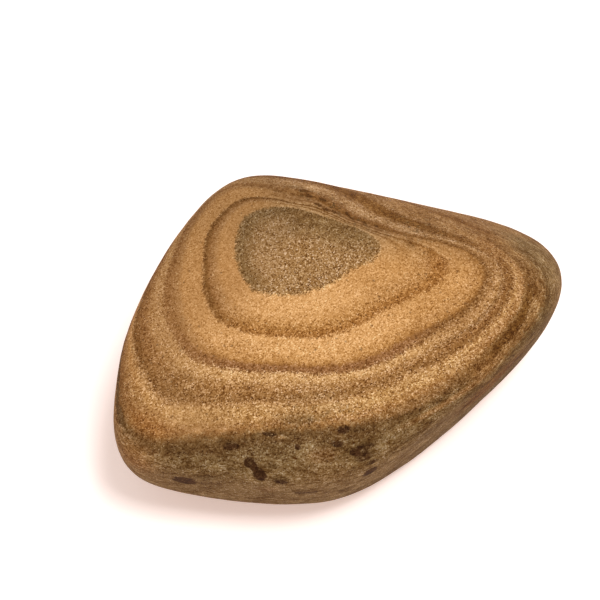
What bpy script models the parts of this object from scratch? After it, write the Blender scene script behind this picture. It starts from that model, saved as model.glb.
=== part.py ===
"""A river pebble: one piece of thin-bedded sandstone, worn smooth by the stream that carried it.

Units are metres and +Z is up. The stone lies on the flat of its sole, as it would on a table. X runs along
its length, from the blunt tail at -X to the narrower nose at +X. The origin is the middle of its plan box,
on the surface that it lies on.

The form is a joint block whose flat faces have been worn into each other. Each face is a plane, and one
exponent says how far the river has rounded the edges between them. A shallow trough lies behind the crest
of the top.
"""

import math

import bmesh
import bpy
from mathutils import Vector, noise

# ---------------------------------------------------------------- driving dimensions, in metres
LENGTH = 0.070
WIDTH = 0.051
HEIGHT = 0.026
SOLE_WORN_OFF = 0.00035  # how much of the lowest belly is worn away, which leaves the flat that it lies on

# The faces of the block. A face looks along a bearing, in degrees anticlockwise from +X as seen from above,
# and climbs so many degrees above the level. Its reach is its distance from the heart of the stone, as a
# share of the distance to a smooth ellipsoid of the same length, width and height.
FACES = {
    "crown": (47, 100, 0.81),
    "front_shoulder": (-108, 72, 0.77),
    "back_slope": (40, 53, 0.85),
    "nose_slope": (-13, 72, 1.06),
    "tail_slope": (190, 67, 1.30),
    "front": (-79, -13, 0.78),
    "front_left": (-123, -11, 0.89),
    "tail": (152, 0, 0.95),
    "upper_left": (120, 18, 1.03),
    "back": (60, -1, 0.91),
    "back_right": (44, 39, 0.94),
    "nose": (-19, 10, 0.99),
    "lower_right": (-63, -13, 0.85),
    "sole_tail": (196, -83, 1.09),
    "sole_nose": (19, -78, 1.00),
}
EDGE_SHARPNESS = 7.9  # about 5 is an egg, and past 12 the edges of the faces show

# The trough behind the crest, from one direction to another, each given as bearing and climb. Its depth
# falls off as a bell curve along it and across it, and is down to about a third at both directions.
TROUGH_START = (76, 39)
TROUGH_END = (12, 31)
TROUGH_HALF_WIDTH = math.radians(12)
TROUGH_DEPTH = 0.00145

# Low swells, which the eye reads as worn stone.
SWELL_HEIGHT = 0.00012
SWELL_LENGTH = 0.011

# Squares of the mesh along the block's length, width and height, and how often they are evened out.
SQUARES = (40, 29, 17)
EVENING_PASSES = 12

SANDSTONE_COLOUR = (0.38, 0.20, 0.08, 1.0)
SANDSTONE_ROUGHNESS = 0.72

HALF_SIZE = Vector((LENGTH, WIDTH, HEIGHT)) / 2


def clear_scene():
    """Removes whatever the startup file holds."""
    for obj in list(bpy.data.objects):
        bpy.data.objects.remove(obj, do_unlink=True)


def direction(bearing, climb):
    """The unit vector along a bearing and a climb, both in degrees."""
    turn = math.radians(bearing)
    rise = math.radians(climb)
    return Vector((math.cos(turn) * math.cos(rise), math.sin(turn) * math.cos(rise), math.sin(rise)))


def ellipsoid_reach(normal):
    """How far from its centre a plane with this normal touches the plain ellipsoid."""
    return Vector(n * h for n, h in zip(normal, HALF_SIZE)).length


def block_planes():
    """Each face as its outward normal and its distance from the heart of the stone."""
    planes = []
    for bearing, climb, reach in FACES.values():
        normal = direction(bearing, climb)
        planes.append((normal, reach * ellipsoid_reach(normal)))
    return planes


def worn_radius(heading, planes):
    """The distance from the heart to the worn planes: a power sum of them, which rounds their edges."""
    total = 0.0
    for normal, distance in planes:
        share = heading.dot(normal) / distance
        if share > 0.0:
            total += share**EDGE_SHARPNESS
    return total ** (-1.0 / EDGE_SHARPNESS)


def trough_axes():
    """The middle of the trough, the way it runs and the way across it, as unit vectors, and its half length."""
    start = direction(*TROUGH_START)
    end = direction(*TROUGH_END)
    middle = (start + end).normalized()
    along = (end - start).normalized()
    return middle, along, middle.cross(along), (end - start).length / 2


def trough_depth(heading, axes):
    """How deep the trough is along this heading."""
    middle, along, across, half_length = axes
    if heading.dot(middle) < 0.0:
        return 0.0
    run = heading.dot(along) / half_length
    width = heading.dot(across) / TROUGH_HALF_WIDTH
    return TROUGH_DEPTH * math.exp(-run * run - width * width)


def divided_cube():
    """A cube from -1 to 1, each side of it cut into squares one axis at a time."""
    block = bmesh.new()
    bmesh.ops.create_cube(block, size=2.0)
    for axis, squares in enumerate(SQUARES):
        edges = []
        for edge in block.edges:
            run = edge.verts[1].co - edge.verts[0].co
            if abs(run[axis]) > 0.99 * run.length:
                edges.append(edge)
        bmesh.ops.subdivide_edges(block, edges=edges, cuts=squares - 1, use_grid_fill=True)
    return block


def round_off(block):
    """Blows the cube up to the plain ellipsoid, by the map that keeps its squares of a like size."""
    for vert in block.verts:
        x, y, z = (value * value for value in vert.co)
        vert.co.x *= math.sqrt(1.0 - y / 2.0 - z / 2.0 + y * z / 3.0) * HALF_SIZE.x
        vert.co.y *= math.sqrt(1.0 - z / 2.0 - x / 2.0 + z * x / 3.0) * HALF_SIZE.y
        vert.co.z *= math.sqrt(1.0 - x / 2.0 - y / 2.0 + x * y / 3.0) * HALF_SIZE.z


def wear_down(block):
    """Moves each point along its line from the heart to the worn surface, trough and swells included."""
    planes = block_planes()
    trough = trough_axes()
    for vert in block.verts:
        heading = vert.co.normalized()
        radius = worn_radius(heading, planes) - trough_depth(heading, trough)
        swell = SWELL_HEIGHT * noise.noise(heading * radius / SWELL_LENGTH)
        vert.co = heading * (radius + swell)


def even_out(block):
    """Slides each point towards the middle of its neighbours, so that the squares spread evenly."""
    for _ in range(EVENING_PASSES):
        middles = []
        for vert in block.verts:
            neighbours = [edge.other_vert(vert).co for edge in vert.link_edges]
            middles.append(sum(neighbours, Vector()) / len(neighbours))
        for vert, middle in zip(block.verts, middles):
            vert.co = middle
        wear_down(block)


def set_down(block):
    """Wears the sole flat, brings the stone to its exact size and sets it on Z = 0, centred on the origin."""
    low = Vector(min(vert.co[axis] for vert in block.verts) for axis in range(3))
    high = Vector(max(vert.co[axis] for vert in block.verts) for axis in range(3))
    low.z += SOLE_WORN_OFF
    middle = (low + high) / 2
    for vert in block.verts:
        for axis, size in enumerate((LENGTH, WIDTH, HEIGHT)):
            vert.co[axis] = (vert.co[axis] - middle[axis]) * size / (high[axis] - low[axis])
        vert.co.z = max(vert.co.z + HEIGHT / 2, 0.0)


def sandstone():
    """Matt brown stone."""
    material = bpy.data.materials.new("banded_sandstone")
    material.use_nodes = True
    surface = material.node_tree.nodes["Principled BSDF"]
    surface.inputs["Base Color"].default_value = SANDSTONE_COLOUR
    surface.inputs["Roughness"].default_value = SANDSTONE_ROUGHNESS
    surface.inputs["Metallic"].default_value = 0.0
    material.diffuse_color = SANDSTONE_COLOUR
    return material


def make_pebble():
    """The whole stone, as one closed body."""
    block = divided_cube()
    round_off(block)
    wear_down(block)
    even_out(block)
    set_down(block)
    bmesh.ops.recalc_face_normals(block, faces=block.faces)
    mesh = bpy.data.meshes.new("pebble")
    block.to_mesh(mesh)
    block.free()
    mesh.shade_smooth()
    mesh.materials.append(sandstone())
    pebble = bpy.data.objects.new("pebble", mesh)
    bpy.context.scene.collection.objects.link(pebble)


def main():
    clear_scene()
    make_pebble()


main()
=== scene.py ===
"""A river pebble of banded sandstone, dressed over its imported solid, with a plain studio round it."""
import math

import bpy
import numpy as np
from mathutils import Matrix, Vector


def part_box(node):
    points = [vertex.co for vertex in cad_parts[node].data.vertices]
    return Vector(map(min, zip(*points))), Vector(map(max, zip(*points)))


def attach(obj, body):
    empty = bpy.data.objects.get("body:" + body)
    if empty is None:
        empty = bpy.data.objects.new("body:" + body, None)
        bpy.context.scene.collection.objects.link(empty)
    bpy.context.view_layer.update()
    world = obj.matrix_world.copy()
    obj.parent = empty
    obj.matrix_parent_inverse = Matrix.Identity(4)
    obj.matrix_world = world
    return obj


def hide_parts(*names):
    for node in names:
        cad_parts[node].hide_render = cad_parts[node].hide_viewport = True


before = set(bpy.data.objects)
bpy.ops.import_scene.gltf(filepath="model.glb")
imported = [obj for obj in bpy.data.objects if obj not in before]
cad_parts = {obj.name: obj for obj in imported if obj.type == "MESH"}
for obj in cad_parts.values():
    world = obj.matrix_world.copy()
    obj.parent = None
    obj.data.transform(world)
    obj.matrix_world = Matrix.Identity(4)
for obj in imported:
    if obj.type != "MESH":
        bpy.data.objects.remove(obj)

bl_info = {
    "name": "River Pebble",
    "version": (1, 0, 0),
    "blender": (4, 5, 0),
    "location": "View3D > Sidebar > Pebble",
    "description": "Dresses the river pebble in banded sandstone and sets its studio",
    "category": "Add Mesh",
}

MM = 0.001
SAME_POINT = 0.01 * MM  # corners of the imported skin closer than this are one
PAIRED = math.radians(60)  # triangles that bend less than this become one square

# ---- the beds, as the quarryman would draw them -----------------------------------------------------

# The beds are folded round one point inside the stone, its heart.  A spot on the skin is named by its
# bearing round the heart and by its climb above the heart's level, both in degrees.
HEART = np.array([-2.5, 3.5, 9.0]) * MM
BED_TILT = np.array([-0.07, -0.11, 1.0])

# Each seam is the dark lower edge of one ring, as (bearing, climb), from the grey core outwards.
CORE_EDGE = (
    (0, 62), (10, 66), (35, 69.8), (55, 69.6), (75, 67.5), (105, 63), (118, 60.5), (133, 61), (180, 60),
    (200, 60), (210, 62.5), (225, 64.8), (255, 67.5), (285, 66.5), (309, 65), (323, 58), (338, 55.8),
)
FIRST_SEAM = (
    (0, 59.5), (10, 63.8), (30, 66.2), (50, 65.9), (65, 66.2), (75, 65.1), (90, 61), (107, 55),
    (135, 50.8), (160, 49), (190, 43.4), (196, 42.8), (220, 45.6), (235, 47.4), (265, 46.4), (293, 45.9),
    (306, 42.5), (319, 37.6), (327, 37.4), (333, 39.2), (343, 48.7), (350, 54.5),
)
SECOND_SEAM = (
    (0, 52), (14, 60), (38, 61.2), (60, 58.6), (70, 58.4), (80, 56.6), (103, 45), (120, 41.3), (135, 40.6),
    (150, 39.6), (165, 36.5), (180, 33.4), (200, 30.6), (225, 34), (240, 35.2), (270, 32.8), (298, 32.1),
    (310, 29.5), (324, 28.7), (330, 28.9), (336, 32.4), (341, 40.5), (348, 48),
)
THIRD_SEAM = (
    (0, 39.2), (10, 41), (25, 39.8), (45, 37.5), (75, 36), (135, 33), (150, 31), (180, 25), (203, 21.9),
    (220, 25.8), (230, 27.6), (280, 28.1), (300, 26.5), (330, 25), (337, 27.8), (343, 32.4),
)
FOURTH_SEAM = (
    (0, 28), (20, 29), (45, 29), (105, 27.5), (135, 26), (150, 24.5), (165, 22), (180, 18.5), (195, 14),
    (205, 13.5), (225, 17.3), (235, 19.8), (270, 19.5), (290, 20.2), (315, 21.1), (335, 22.2),
    (345, 24.8),
)
SEAMS = (CORE_EDGE, FIRST_SEAM, SECOND_SEAM, THIRD_SEAM, FOURTH_SEAM)
SEAM_ROUNDING = 4  # degrees either way over which a seam's corners are rounded

# Below the last seam the beds count on with the depth, and come level over a short drop.
SIDE_BED = 10 * MM
SIDE_LEVELLING = 4 * MM
SHOULDER_SECTOR = 10  # degrees between the bearings where the last seam's height is read
SHOULDER_BED = 0.2  # how much of the bed inside the last seam is read for it

# Colour down the beds: a bed number, where whole numbers are the seams, and the colour there.  The same
# beds weather differently on the broad face, at the nose, along the crest and on the heel.
# Each list ends in the underside colour: painted shade on the foot, where the stone turns under.
FACE_BEDS = (
    (0.0, "core"), (0.97, "core"), (1.04, "honey"), (1.45, "honey"), (1.7, "straw"), (1.83, "amber"),
    (1.92, "umber"), (1.99, "umber"), (2.06, "honey"), (2.45, "honey"), (2.65, "straw"), (2.75, "amber"),
    (2.83, "plum"), (2.94, "plum"), (3.03, "tan"), (3.22, "tan"), (3.42, "fawn"), (3.57, "drab"),
    (3.74, "brown"), (3.91, "brown"), (4.03, "fawn"), (4.12, "dust"), (4.34, "dust"), (4.54, "drab"),
    (4.65, "loam"), (4.76, "moss"), (4.94, "moss"), (5.05, "side"), (6.0, "side"), (6.5, "underside_shade"),
)
NOSE_BEDS = (
    (0.0, "core"), (0.97, "core"), (1.04, "straw"), (1.5, "straw"), (1.8, "wheat"), (1.9, "umber"),
    (1.98, "umber"), (2.06, "straw"), (2.45, "straw"), (2.65, "wheat"), (2.77, "amber"),
    (2.85, "walnut"), (2.94, "brown"), (3.02, "drab"), (3.16, "fawn"), (3.32, "fawn"), (3.48, "clay"),
    (3.7, "russet"), (3.86, "walnut"), (3.97, "brown"), (4.06, "drab"), (4.13, "dust"), (4.22, "fawn"),
    (4.4, "drab"), (4.54, "loam"), (4.64, "ember"), (4.86, "ember"), (4.97, "loam"), (5.06, "loam"),
    (5.14, "slate"), (5.5, "slate"), (6.2, "underside_shade"),
)
HEEL_BEDS = (
    (0.0, "core"), (0.7, "core"), (0.92, "core_rim"), (0.98, "core_rim"), (1.05, "wheat"), (1.5, "wheat"),
    (1.7, "drab"), (1.84, "russet"), (1.91, "bark"), (1.98, "walnut"), (2.06, "wheat"), (2.52, "wheat"),
    (2.68, "drab"), (2.84, "russet"), (2.97, "russet"), (3.05, "fawn"), (3.3, "fawn"), (3.45, "drab"),
    (3.56, "russet"), (3.72, "russet"), (3.87, "walnut"), (3.95, "walnut"), (4.04, "fawn"),
    (4.18, "wheat"), (4.34, "drab"), (4.52, "russet"), (4.68, "walnut"), (4.76, "moss"), (4.88, "moss"),
    (4.98, "drab"), (5.4, "tawny"), (6.2, "underside_shade"),
)
CREST_BEDS = (
    (0.0, "core"), (0.7, "core_rim"), (0.98, "core_rim"), (1.06, "ash"), (1.3, "ash"), (1.41, "bark"),
    (1.48, "bark"), (1.58, "ash"), (1.68, "ash"), (1.79, "bark"), (1.93, "bark"), (2.03, "ash"),
    (2.17, "sand"), (2.32, "bark"), (2.4, "clay"), (2.52, "clay"), (2.7, "bark"), (2.92, "bark"),
    (3.06, "walnut"), (3.16, "clay"), (3.25, "sand"), (3.4, "sand"), (3.52, "clay"), (3.64, "bark"),
    (3.92, "bark"), (4.06, "clay"), (4.22, "tawny"), (4.9, "tawny"), (5.1, "walnut"), (5.3, "clay"),
    (5.6, "tawny"), (6.4, "underside_shade"),
)
BED_COUNT = 7.5

# Where the nose's, the heel's and the crest's beds lie over the face's: (bearing, share).
NOSE = ((0, 1), (10, 0), (286, 0), (306, 1))
HEEL = ((0, 1), (186, 1), (214, 0), (340, 0), (350, 1))
CREST = ((0, 1), (66, 1), (100, 0), (322, 0), (352, 1))
# The back of the heel is made a little darker and greyer: (bearing, share).
DIMMING = ((60, 0), (84, 1), (120, 0.9), (140, 0.5), (165, 0))
# All four fade out over the middle of the grey core: (bed number, share).
OFF_POLE = ((0.1, 0), (0.45, 1))

# How strongly single grains show, and how strongly thin laminae do: (bed number, share).
GRAINY = (
    (0, 1.08), (0.98, 1.08), (1.04, 0.45), (1.6, 0.55), (1.9, 1.0), (2.05, 0.5), (2.6, 0.65), (2.9, 0.85),
    (3.1, 0.75), (3.6, 1.05), (4.1, 0.9), (4.5, 0.95), (5.0, 0.75), (7.5, 0.6),
)
LAMINATED = ((0, 0.1), (2.5, 0.1), (3.4, 0.3), (4.4, 0.35), (5.0, 1.0), (7.5, 1.0))
# The streaks keep to the beds and change across them: (bed number, distance into their pattern).
ACROSS = ((0, 0), (5, 30 * MM), (7.5, 180 * MM))

GRAIN_STRENGTH = 1.1
CREST_GRAIN_LOSS = 0.25  # how much weaker the grains are along the crest
HEEL_GRAIN_LOSS = 0.25  # and on the heel
HEEL_LAMINAE_LOSS = 0.4  # how much weaker the laminae are on the heel
CREST_LAMINAE = 0.5  # how strong they are, at least, along the crest

# ---- stains and spots -------------------------------------------------------------------------------

# Every oval is (bearing, climb, reach round, reach up, strength), and some have a lean as well: how far
# they climb with each degree round.

# Where the grains show less.
FAINTER_GRAIN = ((214, 21, 9, 3, 0.45),)
# Soft stains by colour, laid over each other in this order, with one oval of painted shade among the soot.
WASHES = {
    "rust": ((204, 17.5, 7, 2.5, 0.8), (327, 40, 5, 4, 0.6)),
    "tawny": (
        (204, 11, 5, 4, 0.9), (280, 22.2, 17, 1.2, 0.8), (284, 18.9, 14, 0.9, 0.8), (71, 58.2, 9, 2, 0.6),
        (352, 13, 7, 3, 0.6),
    ),
    "rose": (
        (249, 17.3, 5, 1.8, 0.9), (194, 10, 5, 6, 0.6), (235, 6.4, 3, 2.2, 0.6), (250, 13.5, 7, 3.5, 0.55),
    ),
    "olive": ((203, 26, 9, 3.5, 0.4), (120, 64, 35, 4, 0.5), (243, 24.4, 8, 1.7, 0.8)),
    "ember": ((303, 9.5, 14, 7, 1.0),),
    "russet": ((338, 27.5, 8, 2.5, 0.8), (327, 24, 6, 1.2, 0.5), (17, 34, 16, 5, 0.5)),
    "walnut": ((300, 20.5, 6, 2.5, 0.7), (328, 26.6, 8, 0.9, 0.8)),
    "sand": ((18, 38.5, 12, 3, 0.8), (352, 57, 6, 0.9, 0.6), (61, 62.4, 5, 1.2, 0.6)),
    "wheat": ((216, 40, 12, 3.2, 0.6), (112, 47, 14, 4, 0.5)),
    "lichen": ((340, 15, 13, 7, 1.0), (247, 11, 12, 8, 0.6), (271, 20.2, 12, 1.4, 0.5)),
    "bloom": ((253, 26.3, 6, 1.5, 0.65), (248, 29, 14, 4.5, 0.4), (237.5, 20.9, 2.2, 0.4, 0.8)),
    "soot_and_shade": (
        (220.3, 9.8, 2.8, 2, 0.8), (238.2, 12, 2.6, 1.8, 0.8), (273.5, 14.9, 3.4, 1.1, 0.9),
        (279.3, 12, 3, 1.6, 0.7), (235.5, 15.4, 2.6, 0.5, 0.8), (224, 19.2, 10, 0.6, 0.5),
        (226, 14.2, 4, 0.5, 0.5), (260, 21.2, 4.5, 0.6, 0.7), (243, 5, 4, 2, 0.5), (66, 55, 9, 2.2, 0.6),
        (350, 39.5, 5, 2.2, 0.3), (294, 15.5, 4, 1.5, 0.7), (208, 15.8, 9, 1.3, 0.6),
        (218, 7.5, 6, 2.4, 0.45), (259.9, 17.7, 4.4, 1, 0.9), (260, 15.6, 3.2, 1.6, 0.9),
        # the wide oval at bearing 287, climb 8.5, is painted shade under the nose, not a stain
        (254.7, 1.4, 2.6, 1.2, 0.7), (238.5, 4, 3.4, 1.6, 0.5), (287, 8.5, 13, 7, 0.5),
        (51, 65.7, 5, 0.4, 0.5),
    ),
    "core": ((70, 71.5, 22, 3, 0.35),),
    "bark": ((339, 46.3, 5, 1.6, 0.8), (352, 55.2, 5, 0.5, 0.6)),
    "brown": ((345, 31, 6, 1.6, 0.6),),
    "loam": ((295, 24.6, 5, 1, 0.5),),
    "drab": ((295, 18.6, 5, 1.2, 0.5), (238, 25.5, 7, 1.6, 0.5)),
    "fawn": ((352, 13.5, 7, 3, 0.4),),
    "dust": ((145, 37.6, 14, 1.8, 0.7), (277, 24.3, 7, 1.2, 0.5)),
}
# Spots with ragged edges: brown clots along the crest, then dark iron spots and looser crumbs of the same
# iron low on the face.
SPOTS = {
    "clot": (
        (46, 64.3, 4.5, 0.8, 1), (37, 65.3, 4.5, 0.8, 1), (28.4, 63.9, 3.5, 0.8, 1), (19, 60, 3, 0.9, 1),
        (13.7, 60.7, 2.5, 0.7, 1), (61, 57, 4, 1.2, 1), (56.6, 60.1, 4, 1.1, 1), (45, 60.1, 3.5, 1, 1),
        (358.3, 53.2, 2, 0.8, 1), (3.8, 56.5, 2.2, 0.7, 1),
    ),
    "ink": (
        (215.4, 7, 2.6, 2, 1, 0.1), (224.8, 18.5, 2.2, 0.6, 1, 0.08), (230.7, 15.7, 1.8, 1.1, 1, -0.3),
        (232.2, 14.3, 1.3, 1.2, 1, -1), (233.2, 13.1, 1.6, 1.7, 1, -0.2),
        (234, 21.4, 2.6, 0.28, 1, -0.04), (242.4, 19.2, 0.8, 0.5, 1), (255.9, 21.7, 2.2, 0.7, 1, 0.05),
        (253.4, 19.2, 1.8, 0.5, 1, -0.1), (258, 16.8, 1.6, 0.8, 1, -0.2), (261.3, 8.9, 1.9, 1.9, 1, 0.3),
        (260.2, 17.6, 3.6, 0.8, 0.62), (259.8, 15.5, 2.4, 1.2, 0.62), (262, 13.2, 1.4, 0.8, 0.62),
        (238.5, 11, 1.8, 1.2, 0.62), (244.5, 4, 3, 1, 0.62),
    ),
}
# Where small dark clumps are strewn.
CLUMPS = (
    (25, 60, 45, 5, 0.9), (350, 40, 12, 12, 0.6), (258, 14, 9, 8, 0.7), (232, 13, 14, 10, 0.45),
    (280, 12, 14, 8, 0.45), (210, 8, 10, 6, 0.35), (250, 25, 20, 5, 0.4),
)

# ---- how the stone looks close to -------------------------------------------------------------------

GRAIN_FRAY = 0.06  # how far single grains fray the edges of the beds, in beds
MOTTLE_FRAY = 0.2  # how far the mottle does
CREST_CRISPNESS = 0.6  # how much crisper the beds are along the crest
STAIN_FRAY = 0.8  # how far the mottle thins and thickens the stains
SPOT_FRAY = 2.4  # how far it eats into the edges of the spots
SPOT_FULLNESS = 1.15
SPOT_EDGE = (0.3, 0.7)  # from bare stone to full spot
STREAK_SWING = 6.0  # how light and dark thin laminae are
BLOTCH_SWING = 2.8  # how light and dark flat blotches are
BLOTCH_FLATNESS = 0.4
CLUMP_EDGE = (1.06, 1.16)  # from bare stone to full clump
GRAIN_SWING = 1.9  # how light and dark sand grains are
GRAIN_LEAN = -0.22  # below nothing, more grains are dark than light
GRAIN_PEAK = (0.6, 0.4)  # strong grains are rare, and most are faint
GRAIN_MIDDLE = 0.055  # keeps the middle of the leaning grains where it was
GLINTING = (0.99, 0.6)  # above this share of the cells a pale grain gets a painted glint, and how strongly
LAMINAE_GLINT_LOSS = 0.006  # how much rarer the glints are among the laminae
PIT_SHARE = 0.035  # how many cells hold a pit
PIT_FLOOR = 0.1  # how far out the flat floor of a pit reaches, against its cell
PIT_REACHES = (0.25, 0.55)  # how far out the narrowest pit and the widest reach
# how strongly shade is painted into each pit's hollow, besides its dent
PIT_SHADE = 0.7
PIT_DEPTH = 2.0  # against the depth of a grain
RELIEF_STRENGTH = 0.8
ROUGHNESS = (0.8, 0.95)  # from the smoothest grain to the roughest
GLOSS = 0.08

# ---- the studio -------------------------------------------------------------------------------------

# How far right and down of the picture's middle the stone lies, in pixels of a square picture.
PICTURE_SIZE = 600
PICTURE_RIGHT = 29.4
PICTURE_DOWN = 12.9
NEAREST_SEEN = 10 * MM

PAPER_ROUGHNESS = 0.9
PAPER_GLOSS = 0.1
WHITE = (1.0, 1.0, 1.0, 1.0)


def shade(name, colour, description):
    """One colour of the stone, as a user would change it."""
    return bpy.props.FloatVectorProperty(
        name=name, description=description, subtype="COLOR", size=3, min=0.0, max=1.0, default=colour)


def length(name, metres, description):
    """One length, in metres."""
    return bpy.props.FloatProperty(
        name=name, description=description, subtype="DISTANCE", unit="LENGTH", min=0.0, precision=5,
        default=metres)


def amount(name, value, description, highest=1.0):
    """One plain number from nothing to its highest."""
    return bpy.props.FloatProperty(name=name, description=description, min=0.0, max=highest, default=value)


def angle(name, degrees, description):
    """One angle, given in degrees."""
    return bpy.props.FloatProperty(
        name=name, description=description, subtype="ANGLE", default=math.radians(degrees))


class PebbleShape(bpy.types.PropertyGroup):
    """How the skin of the stone is worn, and how coarse its sand and its patterns are."""

    refinement: bpy.props.IntProperty(
        name="Refinement", description="How often each face of the solid is divided", min=0, max=2,
        default=2)
    swell_size: length("Swell size", 9 * MM, "Width of the broad swells left by tumbling")
    swell_depth: length("Swell depth", 0.22 * MM, "Depth of the broad swells")
    dimple_size: length("Dimple size", 2.4 * MM, "Width of the small dimples")
    dimple_depth: length("Dimple depth", 0.07 * MM, "Depth of the small dimples")
    still_above: length("Sole margin", 1.5 * MM, "Height over which wear fades out towards the sole")
    grain_size: length("Grain size", 0.148 * MM, "Width of one sand grain")
    grain_depth: length("Grain depth", 0.06 * MM, "Height of the grains over the matrix")
    mottle_size: length("Mottle size", 0.8 * MM, "Width of the soft mottle that frays every edge")
    streak_size: length("Streak size", 1.1 * MM, "Length of the thin laminae")
    blotch_size: length("Blotch size", 3 * MM, "Length of the flat blotches among them")
    pit_spacing: length("Pit spacing", 0.45 * MM, "Width of the cells that may hold a pit")


class PebbleColours(bpy.types.PropertyGroup):
    """The colours of the beds and stains."""

    core: shade("Core", (0.345, 0.187, 0.077), "Grey-brown patch at the top")
    core_rim: shade("Core rim", (0.215, 0.115, 0.042), "Dark edge of the grey-brown patch")
    honey: shade("Honey", (0.65, 0.340, 0.127), "Lightest yellow beds")
    straw: shade("Straw", (0.53, 0.262, 0.087), "Yellow beds towards the nose")
    wheat: shade("Wheat", (0.465, 0.228, 0.078), "Yellow beds on the heel")
    tan: shade("Tan", (0.56, 0.308, 0.125), "Dusty light beds lower down")
    dust: shade("Dust", (0.465, 0.248, 0.093), "Lowest light bed")
    fawn: shade("Fawn", (0.415, 0.213, 0.081), "Dull light beds")
    amber: shade("Amber", (0.42, 0.197, 0.060), "Upper edge of a dark ring")
    umber: shade("Umber", (0.355, 0.152, 0.040), "Dark seam of the first ring")
    plum: shade("Plum", (0.27, 0.116, 0.040), "Purple-brown seam of the second ring")
    brown: shade("Brown", (0.30, 0.143, 0.048), "Wide soft brown ring")
    drab: shade("Drab", (0.36, 0.175, 0.062), "Dull beds between the rings")
    russet: shade("Russet", (0.285, 0.128, 0.041), "Brown beds of the heel and the crest")
    loam: shade("Loam", (0.245, 0.122, 0.041), "Brown over the dark shoulder ring")
    moss: shade("Moss", (0.135, 0.067, 0.022), "Dark olive ring at the shoulder")
    ember: shade("Ember", (0.140, 0.057, 0.012), "Dark red-brown ring at the nose")
    slate: shade("Slate", (0.135, 0.074, 0.025), "Outermost thin ring at the nose")
    lichen: shade("Lichen", (0.235, 0.136, 0.054), "Greenish tip of the nose")
    side: shade("Side", (0.181, 0.104, 0.041), "Olive-brown side of the stone")
    # The underside colour is painted shade. It darkens the foot where the stone turns under.
    underside_shade: shade("Underside", (0.13, 0.075, 0.029), "Dark foot of the stone")
    sand: shade("Sand", (0.385, 0.209, 0.090), "Pale threads along the crest")
    ash: shade("Ash", (0.39, 0.22, 0.094), "Ashen threads beside the grey-brown patch, on the crest")
    clay: shade("Clay", (0.29, 0.145, 0.056), "Beds behind the crest")
    walnut: shade("Walnut", (0.225, 0.097, 0.027), "Brown threads behind the crest")
    bark: shade("Bark", (0.19, 0.079, 0.019), "Dark threads behind the crest")
    rust: shade("Rust", (0.32, 0.130, 0.034), "Orange-brown stain")
    tawny: shade("Tawny", (0.31, 0.153, 0.055), "Light brown stain")
    rose: shade("Rose", (0.26, 0.138, 0.058), "Pinkish stain")
    olive: shade("Olive", (0.215, 0.125, 0.053), "Greenish stain")
    bloom: shade("Bloom", (0.47, 0.28, 0.13), "Pale dusty stain")
    # Soot also paints shade low under the nose, besides the dark stains and clumps.
    soot_and_shade: shade("Soot", (0.094, 0.048, 0.015), "Dark soft stain")
    ink: shade("Ink", (0.052, 0.020, 0.006), "Purple-brown iron spots")
    clot: shade("Clot", (0.105, 0.040, 0.008), "Brown clots of iron")
    # The pit colour is painted shade in the hollow of each pit.
    pit: shade("Pit", (0.16, 0.068, 0.020), "Scattered small pits")
    # This tint makes the back of the heel a little darker and greyer.
    dimming: shade("Film", (0.80, 0.81, 0.83), "Tint of the thin grey film on the heel")
    speck: shade("Speck", (0.60, 0.76, 1.0), "How strongly each tint swings from streak to streak")
    grit: shade("Grit", (0.625, 0.530, 0.368), "What the darkest sand grains leave of each tint")
    evened: shade("Evened", (0.984, 0.971, 0.926), "What keeps the beds' colour the same under the grains")
    # The quartz colour is the pale grains' own, brightened into a painted glint.
    quartz_glint: shade("Quartz", (0.90, 0.62, 0.31), "Scattered pale grains")


class PebbleStudio(bpy.types.PropertyGroup):
    """Floor, light and camera."""

    floor_width: length("Floor width", 6.0, "Width of the floor")
    floor_colour: shade("Floor", (0.93, 0.88, 0.865), "Pale floor")
    glow_colour: shade("Glow", (1.0, 0.72, 0.61), "Warm tint of the floor's own glow")
    floor_glow: amount("Floor glow", 0.46, "How much the floor glows by itself, as a light table does")
    key_power: amount("Key power", 5.2, "Power of the soft key light, in watts", 100.0)
    key_width: length("Key width", 0.24, "Width of the soft key light")
    key_distance: length("Key distance", 0.9, "Distance of the key light from the stone")
    key_direction: bpy.props.FloatVectorProperty(
        name="Key direction", description="Where the key light stands, from the stone",
        subtype="DIRECTION", size=3, default=(0.18, -0.25, 0.95))
    sky_strength: amount("Sky strength", 0.5, "Brightness of the white surroundings", 5.0)
    lens: bpy.props.FloatProperty(
        name="Lens", description="Focal length in millimetres", subtype="DISTANCE_CAMERA", min=10.0,
        default=85.0)
    distance: length("Camera distance", 0.1995, "Distance of the camera from the stone's middle")
    elevation: angle("Elevation", 55, "How far the camera looks down")
    azimuth: angle("Azimuth", -27, "How far the camera stands round the stone")


# ---- the stone's mesh -------------------------------------------------------------------------------

def only(piece):
    """Select one piece and nothing else."""
    bpy.ops.object.select_all(action="DESELECT")
    piece.select_set(True)
    bpy.context.view_layer.objects.active = piece


def copy_of_solid(name):
    """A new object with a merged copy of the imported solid's skin, its triangles paired into quads."""
    piece = bpy.data.objects.new(name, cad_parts["pebble"].data.copy())
    bpy.context.scene.collection.objects.link(piece)
    piece.data.materials.clear()
    only(piece)
    bpy.ops.object.mode_set(mode="EDIT")
    bpy.ops.mesh.select_all(action="SELECT")
    bpy.ops.mesh.remove_doubles(threshold=SAME_POINT)
    bpy.ops.mesh.tris_convert_to_quads(face_threshold=PAIRED, shape_threshold=PAIRED)
    bpy.ops.object.mode_set(mode="OBJECT")
    return piece


def apply_modifier(piece, name, kind, **settings):
    """Add one modifier with its settings and apply it."""
    modifier = piece.modifiers.new(name, kind)
    for key, value in settings.items():
        setattr(modifier, key, value)
    bpy.ops.object.modifier_apply(modifier=modifier.name)


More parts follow.
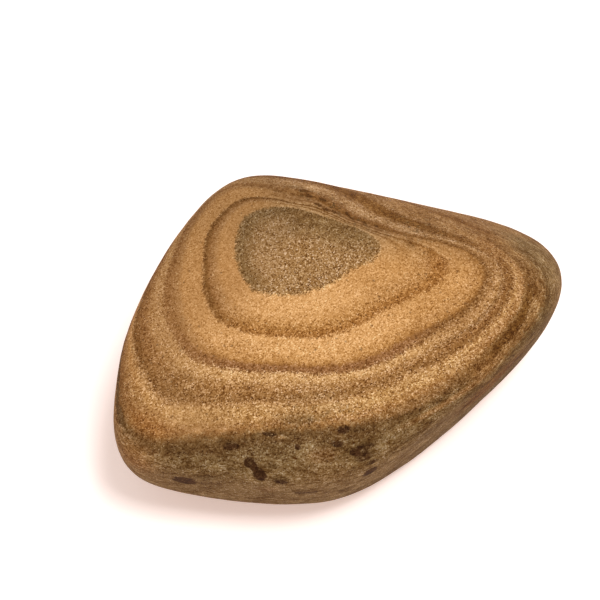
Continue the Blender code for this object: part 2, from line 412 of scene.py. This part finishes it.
def places(piece):
    """Every vertex of a piece, one row each."""
    flat = np.empty(len(piece.data.vertices) * 3)
    piece.data.vertices.foreach_get("co", flat)
    return flat.reshape(-1, 3)


def keep_sole_still(piece, margin):
    """A vertex group that fades from nothing on the sole to full at the margin's height."""
    group = piece.vertex_groups.new(name="worn")
    steps = 10
    level = np.clip(places(piece)[:, 2] / margin, 0, 1) * steps
    for step in range(1, steps + 1):
        members = np.flatnonzero(np.round(level) == step)
        group.add(members.tolist(), step / steps, "REPLACE")
    return group.name


def wear(piece, name, size, depth, group):
    """Press a soft uneven pattern into the skin, never outwards."""
    pattern = bpy.data.textures.new(name, "CLOUDS")
    pattern.noise_scale = size
    pattern.noise_depth = 1
    apply_modifier(piece, name, "DISPLACE", texture=pattern, texture_coords="LOCAL", strength=depth,
                   mid_level=1.0, vertex_group=group)


# ---- marking the beds on the skin -------------------------------------------------------------------

def around_heart(points):
    """Bearing and climb of each point, in degrees."""
    east, north, up = (points - HEART).T
    bearing = np.degrees(np.arctan2(north, east)) % 360
    climb = np.degrees(np.arctan2(up, np.hypot(east, north)))
    return bearing, climb


def turn_from(bearing, middle):
    """How far each bearing lies from a middle one, in degrees, the short way round."""
    return (bearing - middle + 180) % 360 - 180


def seam_climb(seam, bearing):
    """Climb of a seam at each bearing, with its corners rounded."""
    ticks = np.arange(360)
    straight = along(seam, ticks)
    window = np.hanning(2 * SEAM_ROUNDING + 3)[1:-1]
    wrapped = np.concatenate([straight[-SEAM_ROUNDING:], straight, straight[:SEAM_ROUNDING]])
    smooth = np.convolve(wrapped, window / window.sum(), mode="valid")
    return np.interp(bearing, ticks, smooth, period=360)


def bed_numbers(points):
    """The bed number of each point: 0 at the heart's zenith, whole at each seam, then on down the side."""
    bearing, climb = around_heart(points)
    height = points @ BED_TILT
    number = np.zeros(len(points))
    upper = np.full(len(points), 90.0)
    for ring, seam in enumerate(SEAMS):
        lower = seam_climb(seam, bearing)
        between = (climb <= upper) & (climb > lower)
        number[between] = ring + ((upper - climb) / (upper - lower))[between]
        upper = lower
    below = climb <= upper
    shoulder = shoulder_height(bearing, height, number)
    drop = shoulder - height
    levelled = drop + (shoulder.max() - shoulder) * (1 - np.exp(-drop.clip(0) / SIDE_LEVELLING))
    number[below] = len(SEAMS) + levelled[below] / SIDE_BED
    return number


def shoulder_height(bearing, height, number):
    """Height of the last seam at each bearing, read from the skin just inside it."""
    close = number > len(SEAMS) - SHOULDER_BED
    middles = np.arange(0, 360, SHOULDER_SECTOR)
    heights = [height[close & (np.abs(turn_from(bearing, middle)) < SHOULDER_SECTOR)].mean()
               for middle in middles]
    return np.interp(bearing, middles, heights, period=360)


def oval(place, bearing, climb, reach_round, reach_up, strength, lean=0.0):
    """How strongly each point lies in a soft oval: full in its inner half, gone half a reach outside."""
    turn = turn_from(place[0], bearing)
    rise = place[1] - climb - lean * turn
    return strength * np.clip(1.5 - np.hypot(turn / reach_round, rise / reach_up), 0, 1)


def strongest(place, ovals):
    """The strongest of several ovals at each point."""
    return np.max([oval(place, *sizes) for sizes in ovals], axis=0)


def along(table, bearing):
    """A value read from a short list of (bearing, value), round the stone."""
    at, value = np.array(table, dtype=float).T
    return np.interp(bearing, at, value, period=360)


def down(table, number):
    """A value read from a short list of (bed number, value), down the beds."""
    at, value = np.array(table, dtype=float).T
    return np.interp(number, at, value)


def mark_beds(piece):
    """Write the bed numbers, their shares and the stained places on the skin."""
    points = places(piece)
    place = around_heart(points)
    number = bed_numbers(points)
    off_pole = down(OFF_POLE, number)
    nose, heel, crest, dimming = (along(table, place[0]) * off_pole for table in (NOSE, HEEL, CREST, DIMMING))
    grains_show = GRAIN_STRENGTH - CREST_GRAIN_LOSS * crest - HEEL_GRAIN_LOSS * heel * (1 - crest)
    grains_show -= strongest(place, FAINTER_GRAIN)
    marks = {"bed": number, "nose": nose, "heel": heel, "crest": crest, "dimming": dimming}
    marks["grainy"] = down(GRAINY, number) * grains_show
    marks["laminated"] = np.maximum(down(LAMINATED, number) * (1 - HEEL_LAMINAE_LOSS * heel),
                                    CREST_LAMINAE * crest)
    marks["across"] = down(ACROSS, number)
    marks["clumped"] = strongest(place, CLUMPS)
    for name, ovals in (*WASHES.items(), *SPOTS.items()):
        marks[name] = strongest(place, ovals)
    for name, values in marks.items():
        kept = piece.data.attributes.new(name, "FLOAT", "POINT")
        kept.data.foreach_set("value", values.astype(np.float32))


# ---- materials: small helpers -----------------------------------------------------------------------

def node(tree, kind, inputs=None, **settings):
    """Add a shader node, with its settings and its inputs set or linked."""
    new = tree.nodes.new(kind)
    for key, value in settings.items():
        setattr(new, key, value)
    for key, value in (inputs or {}).items():
        if isinstance(value, bpy.types.NodeSocket):
            tree.links.new(value, new.inputs[key])
        else:
            new.inputs[key].default_value = value
    return new


def sums(tree, operation, first, second=0.0, third=0.0):
    """One arithmetic step."""
    return node(tree, "ShaderNodeMath", {0: first, 1: second, 2: third}, operation=operation).outputs[0]


def blend(tree, share, first, second, how="MIX"):
    """Lay the second colour over the first by a share."""
    mix = node(tree, "ShaderNodeMix", {0: share, 6: first, 7: second}, data_type="RGBA", blend_type=how)
    return mix.outputs[2]


def stretch(tree, value, low, high, new_low=0.0, new_high=1.0):
    """Bring a range of values to a new range."""
    values = {"Value": value, "From Min": low, "From Max": high, "To Min": new_low, "To Max": new_high}
    return node(tree, "ShaderNodeMapRange", values).outputs["Result"]


def off_middle(tree, value, reach, base=0.0):
    """Swing a value about its middle of one half by a reach, on top of a base."""
    centred = sums(tree, "SUBTRACT", value, 0.5)
    return sums(tree, "MULTIPLY_ADD", centred, reach, base)


def attribute(tree, name):
    """A number kept on the skin."""
    return node(tree, "ShaderNodeAttribute", attribute_name=name).outputs["Fac"]


def opaque(colour):
    """A colour with its fourth number, as a colour socket takes it."""
    return (*colour, 1.0)


def power(tree, colour, exponent):
    """A plain colour to a power."""
    return node(tree, "ShaderNodeGamma", {"Color": opaque(colour), "Gamma": exponent}).outputs[0]


def noise(tree, place, size, detail, roughness):
    """Soft noise of a given feature size."""
    values = {"Vector": place, "Scale": 1 / size, "Detail": detail, "Roughness": roughness}
    return node(tree, "ShaderNodeTexNoise", values).outputs["Fac"]


def cells(tree, place, size):
    """Cells of a given size: two random numbers for each, and the distance from its middle."""
    found = node(tree, "ShaderNodeTexVoronoi", {"Vector": place, "Scale": 1 / size, "Randomness": 1.0})
    random = node(tree, "ShaderNodeSeparateColor", {0: found.outputs["Color"]})
    return random.outputs[0], random.outputs[1], found.outputs["Distance"]


# ---- materials: the sandstone -----------------------------------------------------------------------

def frayed_beds(tree, grain, mottle):
    """The bed number, its seams frayed by the grains and the mottle, and crisper along the crest."""
    fray = sums(tree, "MULTIPLY_ADD", attribute(tree, "crest"), -CREST_CRISPNESS, 1.0)
    number = off_middle(tree, grain, sums(tree, "MULTIPLY", fray, GRAIN_FRAY), attribute(tree, "bed"))
    return off_middle(tree, mottle, sums(tree, "MULTIPLY", fray, MOTTLE_FRAY), number)


def bed_colours(tree, number, beds, colours):
    """The colour of each bed, by its number."""
    ramp = node(tree, "ShaderNodeValToRGB", {"Fac": sums(tree, "DIVIDE", number, BED_COUNT)})
    steps = ramp.color_ramp.elements
    for index, (at, name) in enumerate(beds):
        step = steps[index] if index < 2 else steps.new(at / BED_COUNT)
        step.position = at / BED_COUNT
        step.color = opaque(getattr(colours, name))
    return ramp.outputs["Color"]


def banded(tree, number, colours):
    """The beds' own colours: the face's, then the nose's, the heel's and the crest's over them."""
    colour = bed_colours(tree, number, FACE_BEDS, colours)
    for name, beds in (("nose", NOSE_BEDS), ("heel", HEEL_BEDS), ("crest", CREST_BEDS)):
        colour = blend(tree, attribute(tree, name), colour, bed_colours(tree, number, beds, colours))
    return blend(tree, attribute(tree, "dimming"), colour, opaque(colours.dimming), "MULTIPLY")


def stained(tree, colour, mottle, colours):
    """Soft washes of stain, and one of painted shade."""
    for name in WASHES:
        share = off_middle(tree, mottle, STAIN_FRAY, attribute(tree, name))
        share = sums(tree, "MULTIPLY", share, attribute(tree, name))
        colour = blend(tree, share, colour, opaque(getattr(colours, name)))
    return colour


def spotted(tree, colour, mottle, colours):
    """Clots and iron spots with ragged edges."""
    edges = off_middle(tree, mottle, SPOT_FRAY, SPOT_FULLNESS)
    for name in SPOTS:
        ragged = sums(tree, "MULTIPLY", edges, attribute(tree, name))
        colour = blend(tree, stretch(tree, ragged, *SPOT_EDGE), colour, opaque(getattr(colours, name)))
    return colour


def swung(tree, colour, pattern, swing, colours):
    """Light and dark streaks: blue swings most and red least, so that dark streaks look rusty."""
    strength = sums(tree, "MULTIPLY", off_middle(tree, pattern, 1.0), swing)
    speck = {0: tuple(colours.speck), "Scale": strength}
    tint = node(tree, "ShaderNodeVectorMath", speck, operation="SCALE").outputs[0]
    factor = node(tree, "ShaderNodeVectorMath", {0: tint, 1: WHITE[:3]}, operation="ADD").outputs[0]
    return blend(tree, 1.0, colour, factor, "MULTIPLY")


def streaked(tree, colour, place, mottle, shape, colours):
    """Thin laminae and flat blotches drawn out along the beds, and dark clumps strewn among them."""
    east, north, _ = node(tree, "ShaderNodeSeparateXYZ", {0: place}).outputs
    flat = node(tree, "ShaderNodeCombineXYZ", {0: east, 1: north, 2: attribute(tree, "across")}).outputs[0]
    streaks = noise(tree, flat, shape.streak_size, detail=4.0, roughness=0.75)
    flatter = node(tree, "ShaderNodeMapping", {"Vector": flat, "Scale": (1.0, 1.0, BLOTCH_FLATNESS)})
    blotches = noise(tree, flatter.outputs[0], shape.blotch_size, detail=2.0, roughness=0.5)
    for pattern, swing in ((streaks, STREAK_SWING), (blotches, BLOTCH_SWING)):
        strength = sums(tree, "MULTIPLY", attribute(tree, "laminated"), swing)
        colour = swung(tree, colour, pattern, strength, colours)
    clumps = stretch(tree, sums(tree, "ADD", streaks, mottle), *CLUMP_EDGE)
    clumps = sums(tree, "MULTIPLY", clumps, attribute(tree, "clumped"))
    return blend(tree, clumps, colour, opaque(colours.soot_and_shade))


def sanded(tree, colour, grain, colours):
    """Light and dark sand grains: a dark grain takes away the share of each tint that a light one adds."""
    swing = sums(tree, "MULTIPLY", attribute(tree, "grainy"), GRAIN_SWING)
    centred = off_middle(tree, grain, 2.0)
    squared = sums(tree, "MULTIPLY", centred, centred)
    leaning = sums(tree, "MULTIPLY_ADD", squared, GRAIN_LEAN, centred)
    peak = sums(tree, "MULTIPLY_ADD", squared, *GRAIN_PEAK)
    peaked = sums(tree, "MULTIPLY_ADD", leaning, peak, GRAIN_MIDDLE)
    grit = power(tree, colours.grit, sums(tree, "MULTIPLY", peaked, sums(tree, "MULTIPLY", swing, -1.0)))
    evened = power(tree, colours.evened, sums(tree, "MULTIPLY", swing, swing))
    colour = blend(tree, 1.0, colour, blend(tree, 1.0, grit, evened, "MULTIPLY"), "MULTIPLY")
    return blend(tree, 1.0, colour, opaque(colours.quartz_glint), "DARKEN")


def glinting(tree, colour, sparkle, colours):
    """Pale grains with a painted glint on them, fewer where the stone is laminated."""
    rarer = sums(tree, "MULTIPLY_ADD", attribute(tree, "laminated"), -LAMINAE_GLINT_LOSS, sparkle)
    lowest, strength = GLINTING
    return blend(tree, stretch(tree, rarer, lowest, 1.0, 0.0, strength), colour, opaque(colours.quartz_glint))


def pits(tree, place, spacing):
    """Scattered small pits: only a share of the cells holds one."""
    random, other, distance = cells(tree, place, spacing)
    chosen = sums(tree, "LESS_THAN", random, PIT_SHARE)
    reach = stretch(tree, other, 0.0, 1.0, *PIT_REACHES)
    return sums(tree, "MULTIPLY", chosen, stretch(tree, distance, PIT_FLOOR, reach, 1.0, 0.0))


def sandstone(shape, colours):
    """Banded sandstone: beds by number, broken up grain by grain."""
    material = bpy.data.materials.new("banded_sandstone")
    material.use_nodes = True
    tree = material.node_tree
    shader = tree.nodes["Principled BSDF"]
    place = node(tree, "ShaderNodeTexCoord").outputs["Object"]
    grain, sparkle, dome = cells(tree, place, shape.grain_size)
    mottle = noise(tree, place, shape.mottle_size, detail=3.0, roughness=0.65)
    pitted = pits(tree, place, shape.pit_spacing)
    colour = banded(tree, frayed_beds(tree, grain, mottle), colours)
    colour = stained(tree, colour, mottle, colours)
    colour = spotted(tree, colour, mottle, colours)
    colour = streaked(tree, colour, place, mottle, shape, colours)
    colour = sanded(tree, colour, grain, colours)
    colour = glinting(tree, colour, sparkle, colours)
    # Paint shade into the hollows of the pits.
    colour = blend(tree, sums(tree, "MULTIPLY", pitted, PIT_SHADE), colour, opaque(colours.pit))
    tree.links.new(colour, shader.inputs["Base Color"])
    tree.links.new(stretch(tree, grain, 0.0, 1.0, *ROUGHNESS), shader.inputs["Roughness"])
    shader.inputs["Specular IOR Level"].default_value = GLOSS
    relief = sums(tree, "MULTIPLY_ADD", pitted, PIT_DEPTH, dome)
    sizes = {"Height": relief, "Strength": RELIEF_STRENGTH, "Distance": shape.grain_depth}
    bump = node(tree, "ShaderNodeBump", sizes, invert=True)
    tree.links.new(bump.outputs["Normal"], shader.inputs["Normal"])
    return material


# ---- floor, light and camera ------------------------------------------------------------------------

def pale_paper(studio):
    """Pale matt paper, lit a little from below."""
    material = bpy.data.materials.new("pale_paper")
    material.use_nodes = True
    sockets = material.node_tree.nodes["Principled BSDF"].inputs
    sockets["Base Color"].default_value = opaque(studio.floor_colour)
    sockets["Roughness"].default_value = PAPER_ROUGHNESS
    sockets["Specular IOR Level"].default_value = PAPER_GLOSS
    sockets["Emission Color"].default_value = opaque(studio.glow_colour)
    sockets["Emission Strength"].default_value = studio.floor_glow
    return material


def lay_floor(studio):
    """A wide flat floor that the stone stands on."""
    bpy.ops.object.select_all(action="DESELECT")
    bpy.ops.mesh.primitive_plane_add(size=studio.floor_width, location=(0, 0, 0))
    floor = bpy.context.object
    floor.name = "floor"
    floor.data.materials.append(pale_paper(studio))


def light_scene(scene, studio):
    """One big soft lamp and white surroundings."""
    towards = Vector(studio.key_direction).normalized()
    bpy.ops.object.light_add(type="AREA", location=towards * studio.key_distance)
    key = bpy.context.object
    key.name = "soft_key"
    key.rotation_euler = towards.to_track_quat("Z", "Y").to_euler()
    key.data.size = studio.key_width
    key.data.energy = studio.key_power
    world = bpy.data.worlds.new("white_surroundings")
    world.use_nodes = True
    sky = world.node_tree.nodes["Background"].inputs
    sky["Color"].default_value = WHITE
    sky["Strength"].default_value = studio.sky_strength
    scene.world = world
    scene.view_settings.view_transform = "Standard"


def place_camera(scene, studio):
    """A long lens that looks down on the stone's middle."""
    low, high = (Vector(corner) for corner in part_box("pebble"))
    aim = Vector((0, 0, (low.z + high.z) / 2))
    level = math.cos(studio.elevation)
    back = Vector((math.sin(studio.azimuth) * level, -math.cos(studio.azimuth) * level,
                   math.sin(studio.elevation)))
    bpy.ops.object.camera_add(location=aim + back * studio.distance)
    camera = bpy.context.object
    camera.name = "camera"
    camera.rotation_euler = back.to_track_quat("Z", "Y").to_euler()
    camera.data.lens = studio.lens
    camera.data.shift_x = -PICTURE_RIGHT / PICTURE_SIZE
    camera.data.shift_y = PICTURE_DOWN / PICTURE_SIZE
    camera.data.clip_start = NEAREST_SEEN
    scene.camera = camera


# ---- operators and panel ----------------------------------------------------------------------------

class PEBBLE_OT_stone(bpy.types.Operator):
    """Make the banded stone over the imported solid"""

    bl_idname = "pebble.make_stone"
    bl_label = "Banded stone"

    def execute(self, context):
        shape = context.scene.pebble_shape
        piece = copy_of_solid("banded_pebble")
        apply_modifier(piece, "refine", "SUBSURF", levels=shape.refinement, render_levels=shape.refinement)
        group = keep_sole_still(piece, shape.still_above)
        wear(piece, "swells", shape.swell_size, shape.swell_depth, group)
        wear(piece, "dimples", shape.dimple_size, shape.dimple_depth, group)
        bpy.ops.object.shade_smooth()
        mark_beds(piece)
        piece.data.materials.append(sandstone(shape, context.scene.pebble_colours))
        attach(piece, "root")
        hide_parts("pebble")
        return {"FINISHED"}


class PEBBLE_OT_stage(bpy.types.Operator):
    """Set out the floor, the light and the camera"""

    bl_idname = "pebble.set_stage"
    bl_label = "Floor, light and camera"

    def execute(self, context):
        studio = context.scene.pebble_studio
        lay_floor(studio)
        light_scene(context.scene, studio)
        place_camera(context.scene, studio)
        return {"FINISHED"}


class PEBBLE_PT_panel(bpy.types.Panel):
    """Lists what can be made"""

    bl_label = "River pebble"
    bl_idname = "PEBBLE_PT_panel"
    bl_space_type = "VIEW_3D"
    bl_region_type = "UI"
    bl_category = "Pebble"

    def draw(self, context):
        for operator in (PEBBLE_OT_stone, PEBBLE_OT_stage):
            self.layout.operator(operator.bl_idname)


GROUPS = {"pebble_shape": PebbleShape, "pebble_colours": PebbleColours, "pebble_studio": PebbleStudio}
CLASSES = (*GROUPS.values(), PEBBLE_OT_stone, PEBBLE_OT_stage, PEBBLE_PT_panel)


def register():
    """Make the classes known, and give each scene its sizes and colours."""
    for kind in CLASSES:
        bpy.utils.register_class(kind)
    for name, kind in GROUPS.items():
        setattr(bpy.types.Scene, name, bpy.props.PointerProperty(type=kind))


def unregister():
    """Undo what register does."""
    for name in GROUPS:
        delattr(bpy.types.Scene, name)
    for kind in reversed(CLASSES):
        bpy.utils.unregister_class(kind)


def main():
    """Make the stone and its studio."""
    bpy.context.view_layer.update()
    register()
    bpy.ops.pebble.make_stone()
    bpy.ops.pebble.set_stage()


if __name__ == "__main__":
    main()
